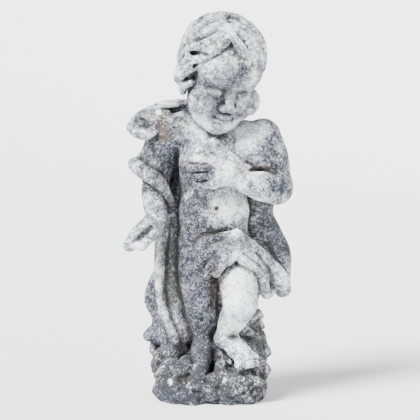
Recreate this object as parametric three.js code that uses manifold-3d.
// A weathered stone putto, carved from one block with its rocky base.
// Millimetres, +Z up. The figure faces -Y and the origin is at the middle of the base's flat underside.
//
// The carving is laid out as on a carver's squared drawing: the block is 400 squares high, and every
// place below is counted in squares, x to the figure's left, y to its back, z up from the underside.
// A station is [x, y, z, radius], and softness is how widely one form runs into the next, in squares.
import * as THREE from 'three';
import { mergeVertices } from 'three/addons/utils/BufferGeometryUtils.js';
import Module from 'manifold-3d';

// Driving dimensions, in millimetres
const statueHeight = 700;
const rockWidth = 208; // the base across, at its widest
const rockDepth = 184; // the base from front to back

// The surface: how closely the clay is measured, and how many triangles are kept
const gridStep = 4.1; // mm
const keptTriangles = 9400;

// The squared drawing
const squaresHigh = 400;
const square = statueHeight / squaresHigh;
const rockSquaresWide = 119; // the drawn base across
const rockSquaresDeep = 105; // the drawn base front to back
const rockWide = rockWidth / square / rockSquaresWide;
const rockDeep = rockDepth / square / rockSquaresDeep;
const deg = Math.PI / 180;

// The block that is worked, in squares, with room round the figure
const margin = 8;
const blockLow = [Math.min(-92, -64 * rockWide) - margin, Math.min(-66, -62 * rockDeep) - margin, -4 * margin - 4];
const blockHigh = [Math.max(92, 64 * rockWide) + margin, Math.max(52, 50 * rockDeep) + margin, squaresHigh + margin];
const step = gridStep / square;
const size = blockLow.map((low, k) => Math.ceil((blockHigh[k] - low) / step) + 1);
const count = size[0] * size[1] * size[2];
const outside = 30; // the depth given to empty space, in squares

// Shapes: each gives its depth below the surface (negative inside) and the box that holds it

function limb(stations, flat) {
  const rounded = stations.length > 2 ? smoothed(stations) : stations;
  const low = [0, 1, 2].map((k) => Math.min(...rounded.map((s) => s[k] - s[3])));
  const high = [0, 1, 2].map((k) => Math.max(...rounded.map((s) => s[k] + s[3])));
  const depth = (x, y, z) => {
    let nearest = Infinity;
    for (let i = 1; i < rounded.length; i++) {
      const a = rounded[i - 1];
      const b = rounded[i];
      const bx = b[0] - a[0];
      const by = b[1] - a[1];
      const bz = b[2] - a[2];
      let px = x - a[0];
      let py = y - a[1];
      let pz = z - a[2];
      const along = Math.min(1, Math.max(0, (px * bx + py * by + pz * bz) / (bx * bx + by * by + bz * bz)));
      px -= along * bx;
      py -= along * by;
      pz -= along * bz;
      if (flat) {
        const across = (px * flat[0] + py * flat[1] + pz * flat[2]) * (flat[3] - 1);
        px += across * flat[0];
        py += across * flat[1];
        pz += across * flat[2];
      }
      const d = Math.sqrt(px * px + py * py + pz * pz) - a[3] - (b[3] - a[3]) * along;
      if (d < nearest) nearest = d;
    }
    return nearest;
  };
  return { low, high, depth };
}

function smoothed(stations, perSpan = 5) {
  const places = new THREE.CatmullRomCurve3(stations.map((s) => new THREE.Vector3(s[0], s[1], s[2])));
  const radii = new THREE.CatmullRomCurve3(stations.map((s) => new THREE.Vector3(s[3], 0, 0)));
  const spans = (stations.length - 1) * perSpan;
  return Array.from({ length: spans + 1 }, (_, i) => {
    const p = places.getPoint(i / spans);
    return [p.x, p.y, p.z, radii.getPoint(i / spans).x];
  });
}

function lump(centre, radii) {
  const depth = (x, y, z) => {
    const ux = (x - centre[0]) / radii[0];
    const uy = (y - centre[1]) / radii[1];
    const uz = (z - centre[2]) / radii[2];
    const near = Math.hypot(ux, uy, uz);
    const slope = Math.hypot(ux / radii[0], uy / radii[1], uz / radii[2]);
    return slope < 1e-9 ? -Math.min(...radii) : (near * (near - 1)) / slope;
  };
  return { low: centre.map((c, k) => c - radii[k]), high: centre.map((c, k) => c + radii[k]), depth };
}

function placed(shape, place) {
  const back = place.clone().invert();
  const scale = place.getMaxScaleOnAxis();
  const box = new THREE.Box3(new THREE.Vector3(...shape.low), new THREE.Vector3(...shape.high)).applyMatrix4(place);
  const p = new THREE.Vector3();
  const depth = (x, y, z) => {
    p.set(x, y, z).applyMatrix4(back);
    return shape.depth(p.x, p.y, p.z) * scale;
  };
  return { low: box.min.toArray(), high: box.max.toArray(), depth };
}

// Slow waves in three directions, for rough rock: the same at every run
function roughness(x, y, z) {
  const coarse = Math.sin(x * 0.14 + 1.3 * Math.sin(z * 0.11)) * Math.sin(y * 0.15 + 0.6) * Math.sin(z * 0.16 + x * 0.06);
  const fine = Math.sin(x * 0.31 + y * 0.2) * Math.sin(y * 0.28 - z * 0.24 + 2.1) * Math.sin(z * 0.33 + 0.4);
  return 3 * coarse + 1.3 * fine;
}

// Clay: a block of depths that shapes are put on and cut from

function softUnion(a, b, softness) {
  const reach = Math.max(softness - Math.abs(a - b), 0);
  return Math.min(a, b) - (reach * reach) / (4 * softness);
}

class Clay {
  constructor() {
    this.depths = new Float32Array(count).fill(outside);
  }

  work(shape, softness, change) {
    const pad = softness + 2 * step;
    const first = shape.low.map((v, k) => Math.max(0, Math.floor((v - pad - blockLow[k]) / step)));
    const last = shape.high.map((v, k) => Math.min(size[k] - 1, Math.ceil((v + pad - blockLow[k]) / step)));
    for (let k = first[2]; k <= last[2]; k++)
      for (let j = first[1]; j <= last[1]; j++)
        for (let i = first[0]; i <= last[0]; i++) {
          const at = (k * size[1] + j) * size[0] + i;
          const d = shape.depth(blockLow[0] + i * step, blockLow[1] + j * step, blockLow[2] + k * step);
          this.depths[at] = change(this.depths[at], d);
        }
    return this;
  }

  add(softness, ...shapes) {
    for (const shape of shapes) this.work(shape, softness, (old, d) => softUnion(old, d, softness));
    return this;
  }

  cut(softness, ...shapes) {
    for (const shape of shapes) this.work(shape, softness, (old, d) => -softUnion(-old, d, softness));
    return this;
  }

  join(softness, other) {
    for (let i = 0; i < count; i++) this.depths[i] = softUnion(this.depths[i], other.depths[i], softness);
    return this;
  }
}

// The trunk: a child's round belly and chest, leaning a little to the figure's right

function trunk() {
  return new Clay()
    .add(
      10,
      lump([4, 6, 166], [38, 30, 28]),
      lump([4, 0, 194], [37, 33, 33]),
      lump([5, 3, 234], [37, 30, 40]),
      limb([[-38, 6, 268, 17], [8, 6, 273, 17], [54, 4, 268, 18]]),
      limb([[8, 6, 270, 20], [11, -2, 296, 20]]),
      lump([5, -10, 246], [36, 17, 22]),
      lump([42, -12, 254], [18, 15, 22]),
      limb([[-28, 2, 284, 13], [-42, 4, 280, 14]]),
    )
    .cut(2, lump([7, -35, 200], [3, 6, 3]))
    .cut(4, limb([[-22, -26, 180, 2], [-10, -33, 172, 2.4], [1, -36, 168.5, 2.4], [10, -36, 170, 1.4]]));
}

// His right leg carries the weight; his left knee is brought forward, with the foot on a higher rock

function rightLeg() {
  const thighToAnkle = [
    [-13, 4, 158, 22], [-13, -1, 128, 21], [-11, -5, 99, 16.8], [-9, -2, 80, 15.2], [-6.5, 1, 63, 10.6], [-6, 0, 52, 9.4],
  ];
  return new Clay()
    .add(
      8,
      limb(thighToAnkle),
      lump([-6, 4, 46], [9, 11, 9]),
      limb([[-6, -4, 50, 9], [-9, -24, 37, 9], [-13, -43, 24, 8.4]], [0.1, -0.5, 0.86, 1.15]),
    )
    .add(6, lump([-10, -18, 97], [10, 6, 10]))
    .add(2, ...toes([-19, -51, 18], [-6, -51, 17], 1));
}

function leftLeg() {
  return new Clay()
    .add(
      8,
      limb([[23, 4, 156, 22], [28, -22, 130, 20.5], [31, -43, 106, 17]]),
      limb([[31, -40, 100, 15], [25, -31, 88, 14.4], [19, -22, 74, 11.2], [16, -17, 65, 9.6]]),
      lump([14, -13, 60], [9, 10, 9]),
      limb([[18, -19, 63, 9.5], [27, -31, 55, 11], [37, -43, 47, 10.5]], [0.1, -0.45, 0.88, 1.3]),
    )
    .add(6, lump([31, -54, 105], [11, 6, 11]))
    .add(2, ...toes([31, -53, 41], [47, -49, 43], 1.1));
}

// Five toes in a row from the big one to the little one
function toes(big, little, scale) {
  const n = 5;
  return Array.from({ length: n }, (_, i) => {
    const t = i / (n - 1);
    const at = big.map((v, k) => v + (little[k] - v) * t);
    const r = (i === 0 ? 4.4 : 3.3 - 0.12 * i) * scale;
    return limb([[at[0] - 1, at[1] + 7, at[2] + 4, r], [at[0], at[1], at[2], r]]);
  });
}

// His left arm is folded over the chest, with the hand spread on the breast

function leftArm() {
  const fingers = [
    [[2, -42, 251, 5], [-9, -42, 252, 4.6], [-21, -39, 252, 3.6]],
    [[1, -42, 243, 5], [-9, -42, 243.5, 4.6], [-19, -39, 243, 3.6]],
    [[1, -42, 235, 5], [-8, -41, 234.5, 4.4], [-17, -38, 234, 3.4]],
    [[3, -41, 227, 4.8], [-4, -40, 226, 4.2], [-12, -38, 225, 3.3]],
  ];
  return new Clay()
    .add(
      7,
      limb([[54, 3, 270, 19], [64, 1, 248, 17], [68, -8, 221, 15.5]]),
      limb([[69, -12, 218, 15.5], [50, -32, 224, 14.8], [30, -37, 234, 12.4], [20, -38, 239, 11.8]]),
      limb([[18, -38, 241, 11], [4, -39, 246, 8.6]]),
      limb([[18, -38, 237, 11], [5, -39, 231, 8.6]]),
      limb([[28, -36, 242, 8], [15, -41, 255, 6.6], [4, -42, 268, 3.4]]),
      limb([[43, -14, 255, 16], [60, -8, 250, 17]]),
    )
    .add(2.6, ...fingers.map((f) => limb(f)))
    .cut(1.5, lump([48, -37, 240.5], [13, 12, 3]), limb([[47, -34, 242, 1.6], [46, -32, 254, 0.8]]));
}

// His right arm hangs in the cloak's sleeve, and the broken hand is held out to the side

function rightArm() {
  return new Clay()
    .add(
      7,
      limb([[-46, 5, 262, 16], [-54, 5, 232, 14.5], [-57, 0, 213, 13.5], [-56, -10, 198, 12], [-54, -17, 187, 10]]),
      limb([[-55, -18, 186, 10], [-64, -27, 178, 11.4], [-74, -35, 170, 9.8], [-82, -40, 163, 6]], [0.5, 0.45, 0.74, 1.15]),
    )
    .add(3, limb([[-54, -24, 178, 6], [-62, -35, 171, 5.4], [-70, -41, 163, 4.6]]))
    .cut(2.5, limb([[-60, -36, 181, 2.8], [-68, -43, 175, 5], [-77, -47, 167, 3.6]]))
    .cut(1.5, limb([[-80, -50, 158, 3], [-68, -50, 160, 3.4]]));
}

// The head is carved in a frame of its own: turned to his left, bowed, and leaning on that side

const headPlace = new THREE.Matrix4()
  .makeTranslation(12, -13, 339)
  .multiply(new THREE.Matrix4().makeRotationY(9 * deg))
  .multiply(new THREE.Matrix4().makeRotationZ(22 * deg))
  .multiply(new THREE.Matrix4().makeRotationX(22 * deg))
  .multiply(new THREE.Matrix4().makeScale(1.08, 1.08, 1.08));
const inHead = (shape) => placed(shape, headPlace);
const bothSides = (make) => [make(-1), make(1)];

function face() {
  const eyelid = (s) => limb([[7 * s, -35, -8, 0.6], [13.5 * s, -37.5, -10.4, 0.9], [20.5 * s, -33.5, -8.6, 0.6]]);
  const mouthCut = [[-8.5, -36, -31.7, 0.6], [0, -40.4, -31.8, 0.9], [8.5, -36, -31.7, 0.6]];
  return new Clay()
    .add(
      8,
      ...[
        lump([0, 4, 11], [34, 39.5, 35]),
        lump([0, -13, 11], [32, 26.5, 26]),
        lump([0.5, -9, -16], [32, 27, 33]),
        lump([0, -24, -34], [14, 12, 11]),
        lump([0, -27.5, -43], [11, 9, 8]),
        lump([0, -14, -38], [23, 20, 14]),
        ...bothSides((s) => lump([18 * s, -21.5, -22], [14, 12.5, 14.5])),
      ].map(inHead),
    )
    .cut(6, ...bothSides((s) => lump([14 * s, -43, -4], [10, 7, 5.5])).map(inHead))
    .add(1.5, ...bothSides((s) => lump([13.5 * s, -29.5, -7], [7.8, 6.5, 5.4])).map(inHead))
    .cut(1, ...bothSides(eyelid).map(inHead))
    .add(5, inHead(limb([[0, -34.5, -3, 3.2], [0, -37.5, -10, 3.3], [0, -40, -17, 4.2]])))
    .add(2.5, ...bothSides((s) => lump([4.4 * s, -38, -19.4], [3.4, 4.2, 3])).map(inHead))
    .add(2.5, inHead(limb([[-7.5, -34.6, -30.8, 1.2], [-3, -37.6, -29, 2.3], [3, -37.6, -29, 2.3], [7.5, -34.6, -30.8, 1.2]])))
    .add(2, inHead(limb([[-6, -34.4, -33.4, 1.4], [0, -37, -34.4, 2.6], [6, -34.4, -33.4, 1.4]])))
    .cut(1.2, inHead(limb(mouthCut)))
    .add(3, ...bothSides((s) => lump([34 * s, 4, -12], [4, 8, 10])).map(inHead));
}

// Hair: a close cap, and locks that lie on the skull. A place on it is given as degrees round, counted
// from the brow to his left, and degrees up; lift raises a lock off the skull, in squares.

const skullRadii = [37, 43, 39];
const napeHold = 0.45; // how little the skull narrows below its widest line

function lock(radius, lift, ...places) {
  const stations = places.map(([around, up], i) => {
    const inward = Math.cos((up > 0 ? up : napeHold * up) * deg);
    return [
      (skullRadii[0] + lift) * inward * Math.sin(around * deg),
      7 - (skullRadii[1] + lift) * inward * Math.cos(around * deg),
      13 + (skullRadii[2] + lift) * Math.sin(up * deg),
      radius * (0.7 + 0.4 * Math.sin((Math.PI * (i + 0.5)) / places.length)),
    ];
  });
  return limb(stations);
}

function hair() {
  const brow = [
    lock(6, -2, [-24, 55], [-38, 40], [-46, 26], [-55, 13], [-67, 0], [-77, -13]),
    lock(6.6, -3, [-22, 64], [-46, 50], [-56, 35], [-67, 21], [-86, 7], [-100, -8]),
    lock(7, -4, [-16, 74], [-56, 60], [-76, 43], [-92, 26], [-108, 8]),
    lock(4, -2, [-52, 2], [-62, -10], [-70, -22]),
    lock(5, -1, [-22, 56], [-8, 46], [3, 37], [11, 29], [10, 22], [3, 22]),
    lock(6.6, -2.5, [-8, 66], [22, 56], [32, 42], [36, 28], [41, 8], [45, -6]),
    lock(6.8, -4, [10, 76], [46, 60], [56, 42], [60, 24], [64, 4], [68, -12]),
    lock(4.6, -1, [18, 46], [22, 32], [26, 18]),
  ];
  const locksBehind = 10;
  const behind = Array.from({ length: locksBehind }, (_, i) => {
    const around = 84 + 21.5 * i;
    const wave = 6 * Math.sin(i * 2.3);
    const fall = [[around, 68]];
    [44, 20, -4, -30, -54].forEach((up, n) => fall.push([around + (n % 2 ? -wave : wave), up]));
    return lock(7.4 + 0.9 * Math.sin(i * 3.1), -4, ...fall, [around - 0.5 * wave, -74]);
  });
  const curls = [
    limb([[-35, -12, 8, 4.5], [-41, -9, 0, 5.4], [-42, -6, -8, 5.6], [-37, -8, -14, 4.4]]),
    limb([[-33, -14, -9, 3.6], [-38, -11, -15, 4.2], [-35, -9, -21, 3.2]]),
    limb([[35, -6, -16, 4], [39, -6, -24, 5.6], [37, -8, -32, 5.2], [33, -10, -34, 3.8]]),
  ];
  const drilled = [
    limb([[-29, -24, 27, 1.4], [-35, -14, 22, 2.2], [-38, 0, 15, 1.6]]),
    limb([[-32, -24, 13, 1.2], [-36, -15, 9, 2]]),
  ];
  return new Clay()
    .add(6, ...[lump([0, 9, 12], [37, 42, 38]), lump([0, 10, -10], [30, 32, 27])].map(inHead))
    .cut(5, inHead(lump([-3, -46, -6], [31, 28, 44])))
    .add(3.2, ...[...behind, ...brow, ...curls].map(inHead))
    .cut(1.6, ...drilled.map(inHead));
}

// The cloak: a bunch on his right shoulder, a sleeve on that arm, and long folds down the back

function shoulderCloth() {
  const cuff = [[-79, 6, 243, 4.6], [-74, 0, 240, 8], [-64, -8, 234, 9], [-53, -12, 225, 7.4], [-45, -11, 213, 5], [-40, -8, 203, 3.4]];
  const rim = [[-80, 2, 280, 4.4], [-74, -9, 276, 5.4], [-66, -13, 275, 5.4], [-59, -12, 277, 4.4]];
  const slit = [[-46, -14, 266, 1.4], [-37, -17, 252, 2], [-34, -18, 240, 2.2], [-34, -17, 224, 1.8]];
  return new Clay()
    .add(
      5,
      limb([[-47, 6, 272, 18], [-52, 5, 252, 18.5], [-58, 3, 234, 15.5]]),
      limb([[-52, 7, 248, 16], [-69, 8, 243, 10], [-80, 8, 240, 3.6]]),
      limb([[-50, 5, 286, 14.5], [-62, 3, 286, 14.5], [-72, 1, 283, 10.5], [-79, 2, 280, 4.4]]),
      limb([[-54, 10, 290, 11], [-42, 14, 294, 9.5], [-24, 18, 297, 9]]),
    )
    .add(2, limb(cuff))
    .add(4, limb(rim))
    .add(2.5, limb([[-62, -2, 298, 4], [-50, 2, 302, 4], [-36, 8, 304, 3.6], [-24, 12, 304, 3.4]]))
    .cut(2, limb([[-71, -15, 281, 2], [-65, -18, 281, 2.2]]))
    .cut(1.6, limb([[-66, -14, 284, 1.2], [-60, -15, 281, 2.4], [-54, -15, 279, 2.6], [-49, -13, 284, 1.8], [-42, -9, 292, 1.4]]))
    .cut(2, limb(slit));
}

// Swags hang across the back from the right shoulder; long folds fan out below them to the ground
function backCloth() {
  const folds = 7;
  const clay = new Clay().add(
    10,
    lump([4, 16, 250], [50, 20, 42]),
    lump([4, 18, 196], [52, 20, 56]),
    lump([-2, 22, 150], [46, 24, 46]),
    lump([-6, 18, 90], [42, 22, 60]),
    lump([-8, 20, 64], [44, 21, 38]),
  );
  for (let i = 0; i < folds; i++) {
    const t = i / (folds - 1) + 0.025 * Math.sin(i * 2.1);
    const bow = Math.sin(t * Math.PI);
    const sway = 4 * Math.sin(i * 1.9);
    const thick = 7 + 2.4 * Math.sin(i * 2.4 + 1);
    const fall = [
      [-44 + 62 * t, 20 + 9 * bow, 286 - 30 * t, thick - 2.5],
      [-46 + 84 * t + sway, 25 + 9 * bow, 236, thick - 1],
      [-48 + 98 * t, 24 + 10 * bow, 192, thick],
      [-48 + 101 * t - sway, 25 + 14 * bow, 150, thick + 1],
      [-50 + 97 * t, 22 + 12 * bow, 98 + 14 * t, thick],
      [-52 + 94 * t + sway, 24 + 14 * bow, 46 + 44 * t * t, thick + 2],
    ];
    clay.add(4.5, limb(fall));
  }
  for (const [drop, thick] of [[0, 5.6], [17, 4.6], [36, 4.2]]) {
    const swag = [
      [-48, 18, 290 - 0.5 * drop, thick + 1],
      [-18, 27, 281 - drop, thick],
      [14, 31, 270 - 1.1 * drop, thick],
      [42, 27, 262 - 0.9 * drop, thick],
      [60, 14, 252 - 0.6 * drop, thick],
    ];
    clay.add(4, limb(swag));
  }
  return clay;
}

function sideCloth() {
  const frontEdge = [
    [-42, 5, 205, 2.6], [-45, 2, 176, 3.4], [-49, 0, 156, 4], [-51, -3, 136, 4.4], [-52, -5, 116, 4.8],
    [-50, -7, 102, 5], [-45, -10, 83, 5.4], [-38, -12, 68, 5.4], [-30, -13, 70, 5],
  ];
  const innerFace = [[-42, 8, 200, 4], [-45, 8, 170, 7], [-46, 7, 140, 9], [-46, 4, 110, 10], [-40, 0, 80, 11], [-34, -3, 66, 10]];
  return new Clay()
    .add(
      6,
      limb([[-40, 18, 215, 9], [-42, 16, 170, 10], [-44, 16, 130, 13], [-43, 14, 96, 15], [-42, 8, 62, 16]]),
      limb([[-47, 10, 136, 6], [-54, 11, 118, 9], [-58, 11, 99, 10], [-54, 11, 86, 8.4], [-48, 10, 74, 8]]),
      limb([[-46, 8, 68, 11], [-57, 8, 64, 9], [-63, 7, 61.5, 5.6]]),
      limb(innerFace),
      limb([[60, 12, 238, 11], [57, 13, 205, 10], [57, 12, 188, 9], [65, 10, 168, 10], [74, 8, 148, 9.6], [75, 7, 126, 8.6]]),
      limb([[44, 14, 215, 12], [46, 12, 170, 13], [54, 10, 140, 12]]),
      lump([53, 16, 146], [19, 13, 42]),
    )
    .add(3.5, limb(frontEdge))
    .cut(5, limb([[-38, -6, 190, 2], [-41, -10, 150, 4], [-43, -14, 118, 6], [-39, -18, 94, 6.4], [-33, -20, 82, 4]]))
    .cut(2, limb([[62, -2, 152, 1.2], [72, -4, 154, 2.2], [82, -2, 157, 1.4]]));
}

// The cloth over the hips: gathered in front, with a hanging tip and a loose end blown to his left

function hipCloth() {
  const gathers = [
    [[26, -33, 173, 5], [8, -33, 169, 5], [-7, -28, 161, 5], [-17, -24, 150, 3.4]],
    [[25, -36, 169, 5], [9, -37, 161, 5.6], [-5, -35, 150, 5.4], [-13, -31, 142, 3.6]],
    [[24, -37, 165, 5], [13, -40, 156, 5.8], [3, -40, 144, 5.6], [-3, -38, 133, 3.8]],
    [[25, -38, 162, 5], [18, -41, 153, 5.6], [11, -42, 143, 5.4], [6, -41, 135, 4]],
    [[28, -37, 160, 5], [24, -40, 153, 5.4], [19, -41, 147, 4.4]],
  ];
  const looseEnd = [
    [[20, -38, 164, 5], [33, -36, 148, 6], [45, -27, 136, 6.4], [54, -15, 123, 6.4], [59, -9, 110, 6]],
    [[24, -38, 169, 5], [38, -31, 154, 6.4], [50, -19, 142, 6], [59, -11, 128, 5.6], [63, -7, 112, 5]],
    [[28, -35, 172, 5], [43, -22, 158, 6.6], [57, -11, 142, 8], [71, -4, 123, 10.6], [75, -3, 113, 8.6]],
  ];
  const deepFold = [[48, -29, 153, 1.2], [55, -24, 145, 2], [63, -19, 133, 2.6], [65, -16, 120, 2.6], [64, -14, 108, 1.6]];
  return new Clay()
    .add(6, lump([3, -26, 153], [21, 15, 20]))
    .add(6, limb([[20, -28, 164, 10], [38, -22, 151, 11], [52, -10, 138, 11], [64, -4, 122, 10]]))
    .add(2.4, ...gathers.map((g) => limb(g)))
    .add(3.6, ...looseEnd.map((g) => limb(g)))
    .add(4, limb([[54, 2, 150, 8], [66, 4, 130, 9], [72, 4, 118, 7]]))
    .cut(3, limb(deepFold));
}

// The rocky base, in two lobes, with a higher rock behind his left foot

function rock() {
  const stone = (centre, radii) => {
    const wide = (v) => v * rockWide;
    const deep = (v) => v * rockDeep;
    const shape = lump([wide(centre[0]), deep(centre[1]), centre[2]], [wide(radii[0]), deep(radii[1]), radii[2]]);
    return { ...shape, depth: (x, y, z) => shape.depth(x, y, z) + roughness(x, y, z) };
  };
  return new Clay()
    .add(
      6,
      stone([-24, -12, 8], [33, 47, 22]),
      stone([27, -12, 10], [31, 47, 24]),
      stone([0, 12, 14], [54, 32, 36]),
      stone([-35, 8, 34], [25, 24, 28]),
      stone([30, -32, 22], [26, 26, 14]),
      stone([6, 10, 40], [36, 24, 26]),
    )
    .add(4, stone([42, 10, 44], [18, 20, 34]), stone([46, 16, 70], [9, 12, 20]))
    .add(4, stone([-38, -24, 22], [18, 22, 20]), stone([46, -20, 30], [14, 18, 14]))
    .cut(3, limb([[-1, -66, -6, 5], [-1, -60, 10, 2.4]]));
}

// From depths to a surface: each cube of the grid is split into six tetrahedra, which leaves no gaps

function surfaceOf(depths) {
  const corners = [1, 2, 4];
  const orders = [[0, 1, 2], [0, 2, 1], [1, 0, 2], [1, 2, 0], [2, 0, 1], [2, 1, 0]];
  const wedges = orders.map(([a, b]) => [0, corners[a], corners[a] | corners[b], 7]);
  const offset = (c) => ((c >> 2) * size[1] + ((c >> 1) & 1)) * size[0] + (c & 1);
  const steps = Array.from({ length: 8 }, (_, c) => offset(c));
  const points = [];
  const faces = [];
  const made = new Map();

  const crossing = (base, i, j, k, a, b) => {
    const [low, high] = a < b ? [a, b] : [b, a];
    const key = (base + steps[low]) * 8 + (high ^ low);
    let id = made.get(key);
    if (id === undefined) {
      const da = depths[base + steps[low]];
      const db = depths[base + steps[high]];
      const t = Math.min(0.95, Math.max(0.05, da / (da - db)));
      const on = (c, bit) => (c >> bit) & 1;
      id = points.length / 3;
      [i, j, k].forEach((g, bit) => points.push(blockLow[bit] + (g + on(low, bit) + t * (on(high, bit) - on(low, bit))) * step));
      made.set(key, id);
    }
    return id;
  };

  for (let k = 0; k < size[2] - 1; k++)
    for (let j = 0; j < size[1] - 1; j++)
      for (let i = 0; i < size[0] - 1; i++) {
        const base = (k * size[1] + j) * size[0] + i;
        let inside = 0;
        for (let c = 0; c < 8; c++) if (depths[base + steps[c]] < 0) inside++;
        if (inside === 0 || inside === 8) continue;
        for (const wedge of wedges) {
          const within = wedge.filter((c) => depths[base + steps[c]] < 0);
          const without = wedge.filter((c) => depths[base + steps[c]] >= 0);
          if (!within.length || !without.length) continue;
          const cross = (a, b) => crossing(base, i, j, k, a, b);
          const ring =
            within.length === 2
              ? [cross(within[0], without[0]), cross(within[0], without[1]), cross(within[1], without[1]), cross(within[1], without[0])]
              : within.length === 1
                ? without.map((b) => cross(within[0], b))
                : within.map((a) => cross(a, without[0]));
          const outward = [0, 1, 2].map((bit) => {
            const mean = (list) => list.reduce((sum, c) => sum + ((c >> bit) & 1), 0) / list.length;
            return mean(without) - mean(within);
          });
          const turned = facing(points, ring[0], ring[1], ring[2], outward) < 0;
          for (let n = 2; n < ring.length; n++)
            faces.push(ring[0], turned ? ring[n] : ring[n - 1], turned ? ring[n - 1] : ring[n]);
        }
      }
  return { points, faces };
}

function facing(p, a, b, c, way) {
  const [ux, uy, uz] = [0, 1, 2].map((k) => p[3 * b + k] - p[3 * a + k]);
  const [vx, vy, vz] = [0, 1, 2].map((k) => p[3 * c + k] - p[3 * a + k]);
  return (uy * vz - uz * vy) * way[0] + (uz * vx - ux * vz) * way[1] + (ux * vy - uy * vx) * way[2];
}

// The largest connected piece of a surface, so that no crumb floats beside the figure
function largestPiece({ points, faces }) {
  const root = Int32Array.from({ length: points.length / 3 }, (_, i) => i);
  const find = (a) => {
    while (root[a] !== a) a = root[a] = root[root[a]];
    return a;
  };
  for (let f = 0; f < faces.length; f += 3) {
    root[find(faces[f])] = find(faces[f + 1]);
    root[find(faces[f + 1])] = find(faces[f + 2]);
  }
  const tally = new Map();
  for (let f = 0; f < faces.length; f += 3) tally.set(find(faces[f]), (tally.get(find(faces[f])) ?? 0) + 1);
  const best = [...tally].sort((a, b) => b[1] - a[1])[0][0];
  const kept = [];
  for (let f = 0; f < faces.length; f += 3) if (find(faces[f]) === best) kept.push(faces[f], faces[f + 1], faces[f + 2]);
  return { points, faces: kept };
}

// How finely a place is kept: the face, hands and feet count for more than the folds of the back
function care(x, y, z) {
  if (z > 290 && y < -10) return 5;
  if (y < -38 && z > 215) return 4;
  if (y > 15) return 0.5;
  return 1;
}

// A queue that gives the cheapest entry first
class CheapestFirst {
  constructor() {
    this.costs = [];
    this.entries = [];
  }

  push(cost, entry) {
    let i = this.costs.length;
    while (i > 0) {
      const parent = (i - 1) >> 1;
      if (this.costs[parent] <= cost) break;
      this.costs[i] = this.costs[parent];
      this.entries[i] = this.entries[parent];
      i = parent;
    }
    this.costs[i] = cost;
    this.entries[i] = entry;
  }

  pop() {
    const first = this.entries[0];
    const cost = this.costs.pop();
    const entry = this.entries.pop();
    const length = this.costs.length;
    if (length === 0) return first;
    let i = 0;
    for (let child = 1; child < length; child = 2 * i + 1) {
      if (child + 1 < length && this.costs[child + 1] < this.costs[child]) child++;
      if (this.costs[child] >= cost) break;
      this.costs[i] = this.costs[child];
      this.entries[i] = this.entries[child];
      i = child;
    }
    this.costs[i] = cost;
    this.entries[i] = entry;
    return first;
  }
}

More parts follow.
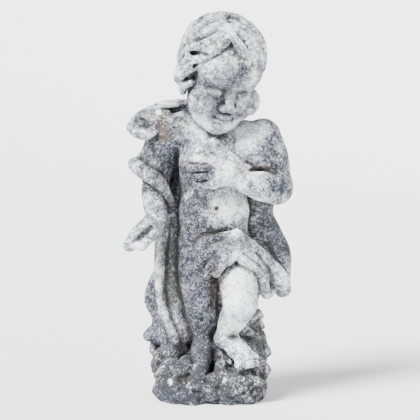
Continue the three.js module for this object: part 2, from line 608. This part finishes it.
// Thins a surface by closing the edges that shift it least, and keeps it closed. Each point carries the
// squared distances to its faces' planes as ten sums, and an edge costs what those sums give at its new point.
function thinned(surface, wanted) {
  const points = Float64Array.from(surface.points);
  const faces = Int32Array.from(surface.faces);
  const sums = new Float64Array((points.length / 3) * 10);
  const around = Array.from({ length: points.length / 3 }, () => []);
  const gone = new Uint8Array(faces.length / 3);
  const moves = new Int32Array(points.length / 3);
  const queue = new CheapestFirst();
  const normal = new Float64Array(3);
  const q = new Float64Array(10);
  const best = new Float64Array(3);
  let left = faces.length / 3;

  const measureNormal = (f) => {
    const [a, b, c] = [3 * faces[3 * f], 3 * faces[3 * f + 1], 3 * faces[3 * f + 2]];
    const ux = points[b] - points[a];
    const uy = points[b + 1] - points[a + 1];
    const uz = points[b + 2] - points[a + 2];
    const vx = points[c] - points[a];
    const vy = points[c + 1] - points[a + 1];
    const vz = points[c + 2] - points[a + 2];
    normal[0] = uy * vz - uz * vy;
    normal[1] = uz * vx - ux * vz;
    normal[2] = ux * vy - uy * vx;
    return Math.sqrt(normal[0] * normal[0] + normal[1] * normal[1] + normal[2] * normal[2]);
  };

  const costAt = (x, y, z) =>
    x * (q[0] * x + 2 * (q[1] * y + q[2] * z + q[3])) +
    y * (q[4] * y + 2 * (q[5] * z + q[6])) +
    z * (q[7] * z + 2 * q[8]) +
    q[9];

  // Leaves the new point of edge a-b in best, and gives its cost
  const meet = (a, b) => {
    for (let k = 0; k < 10; k++) q[k] = sums[10 * a + k] + sums[10 * b + k];
    const yz = q[4] * q[7] - q[5] * q[5];
    const xz = q[1] * q[7] - q[5] * q[2];
    const xy = q[1] * q[5] - q[4] * q[2];
    const det = q[0] * yz - q[1] * xz + q[2] * xy;
    let span = 0;
    for (let k = 0; k < 3; k++) {
      best[k] = (points[3 * a + k] + points[3 * b + k]) / 2;
      span += (points[3 * a + k] - points[3 * b + k]) ** 2;
    }
    if (Math.abs(det) > 1e-8) {
      const p = q[6] * q[7] - q[8] * q[5];
      const r = q[6] * q[5] - q[8] * q[4];
      const s = q[1] * q[8] - q[6] * q[2];
      const x = (-q[3] * yz + q[1] * p - q[2] * r) / det;
      const y = (-q[0] * p + q[3] * xz - q[2] * s) / det;
      const z = (q[0] * r + q[1] * s - q[3] * xy) / det;
      if ((x - best[0]) ** 2 + (y - best[1]) ** 2 + (z - best[2]) ** 2 < span) {
        best[0] = x;
        best[1] = y;
        best[2] = z;
      }
    }
    return Math.max(0, costAt(best[0], best[1], best[2])) + 1e-4 * span;
  };
  const offer = (a, b) => queue.push(meet(a, b), { a, b, moved: moves[a] + moves[b] });

  const ringOf = (v) => {
    const ring = new Set();
    for (const f of around[v]) for (let k = 0; k < 3; k++) ring.add(faces[3 * f + k]);
    ring.delete(v);
    return ring;
  };
  const holds = (f, v) => faces[3 * f] === v || faces[3 * f + 1] === v || faces[3 * f + 2] === v;
  const turnsOver = (v, other, at) => {
    const kept = points.slice(3 * v, 3 * v + 3);
    for (const f of around[v]) {
      if (holds(f, other)) continue;
      const before = measureNormal(f);
      const [nx, ny, nz] = normal;
      points.set(at, 3 * v);
      const after = measureNormal(f);
      points.set(kept, 3 * v);
      if (nx * normal[0] + ny * normal[1] + nz * normal[2] <= 0.25 * before * after) return true;
    }
    return false;
  };

  for (let f = 0; f < faces.length / 3; f++) {
    const area = measureNormal(f);
    const a = faces[3 * f];
    for (let k = 0; k < 3; k++) around[faces[3 * f + k]].push(f);
    if (area < 1e-12) continue;
    const [x, y, z] = normal.map((v) => v / area);
    const w = -(x * points[3 * a] + y * points[3 * a + 1] + z * points[3 * a + 2]);
    const weight = area * care(points[3 * a], points[3 * a + 1], points[3 * a + 2]);
    const terms = [x * x, x * y, x * z, x * w, y * y, y * z, y * w, z * z, z * w, w * w];
    for (let k = 0; k < 3; k++) terms.forEach((t, i) => (sums[10 * faces[3 * f + k] + i] += t * weight));
  }
  for (let f = 0; f < faces.length; f += 3)
    for (let k = 0; k < 3; k++)
      if (faces[f + k] < faces[f + ((k + 1) % 3)]) offer(faces[f + k], faces[f + ((k + 1) % 3)]);

  while (left > wanted && queue.costs.length) {
    const { a, b, moved } = queue.pop();
    if (!around[a].length || !around[b].length || moved !== moves[a] + moves[b]) continue;
    const ringA = ringOf(a);
    if (!ringA.has(b)) continue;
    let shared = 0;
    for (const v of ringOf(b)) if (ringA.has(v)) shared++;
    meet(a, b);
    if (shared !== 2 || turnsOver(a, b, best) || turnsOver(b, a, best)) continue;
    for (const f of around[b]) {
      if (holds(f, a)) {
        gone[f] = 1;
        left--;
        for (let k = 0; k < 3; k++) {
          const v = faces[3 * f + k];
          if (v !== b) around[v] = around[v].filter((g) => g !== f);
        }
      } else {
        for (let k = 0; k < 3; k++) if (faces[3 * f + k] === b) faces[3 * f + k] = a;
        around[a].push(f);
      }
    }
    around[b] = [];
    points.set(best, 3 * a);
    for (let k = 0; k < 10; k++) sums[10 * a + k] += sums[10 * b + k];
    moves[a] += moves[b] + 1;
    for (const v of ringOf(a)) offer(a, v);
  }
  return { points: Array.from(points), faces: Array.from(faces).filter((_, i) => !gone[Math.floor(i / 3)]) };
}

// Solids: the clay's surface in millimetres, sawn flat under the base

const wasm = await Module();
wasm.setup();

function solidOf(geometry) {
  const plain = geometry.clone();
  plain.deleteAttribute('normal');
  plain.deleteAttribute('uv');
  const merged = mergeVertices(plain);
  return new wasm.Manifold(
    new wasm.Mesh({
      numProp: 3,
      vertProperties: new Float32Array(merged.attributes.position.array),
      triVerts: new Uint32Array(merged.index.array),
    }),
  );
}

function geometryOf(solid) {
  const mesh = solid.getMesh();
  const geometry = new THREE.BufferGeometry();
  geometry.setAttribute('position', new THREE.BufferAttribute(mesh.vertProperties, mesh.numProp));
  geometry.setIndex(new THREE.BufferAttribute(mesh.triVerts, 1));
  geometry.computeVertexNormals();
  return geometry;
}

function carving() {
  const clay = trunk()
    .join(5, rightLeg())
    .join(4, leftLeg())
    .join(5, rightArm())
    .join(3, leftArm())
    .join(5, face())
    .join(1.5, hair())
    .join(4, backCloth())
    .join(4, sideCloth())
    .join(2, shoulderCloth())
    .join(3, hipCloth())
    .join(3, rock());
  const surface = thinned(largestPiece(surfaceOf(clay.depths)), keptTriangles);
  const geometry = new THREE.BufferGeometry();
  geometry.setAttribute('position', new THREE.Float32BufferAttribute(surface.points.map((v) => v * square), 3));
  geometry.setIndex(surface.faces);
  return geometry;
}

function sawnFlat(geometry) {
  const width = 4 * statueHeight;
  const below = new THREE.BoxGeometry(width, width, width).translate(0, 0, -width / 2);
  return geometryOf(solidOf(geometry).subtract(solidOf(below)));
}

const weatheredStone = new THREE.MeshStandardMaterial({ name: 'weathered_stone', color: 0xa9abb0, roughness: 0.95, metalness: 0 });

const putto = new THREE.Mesh(sawnFlat(carving()), weatheredStone);
putto.name = 'putto_statue';

const statue = new THREE.Group();
statue.add(putto);

export default statue;
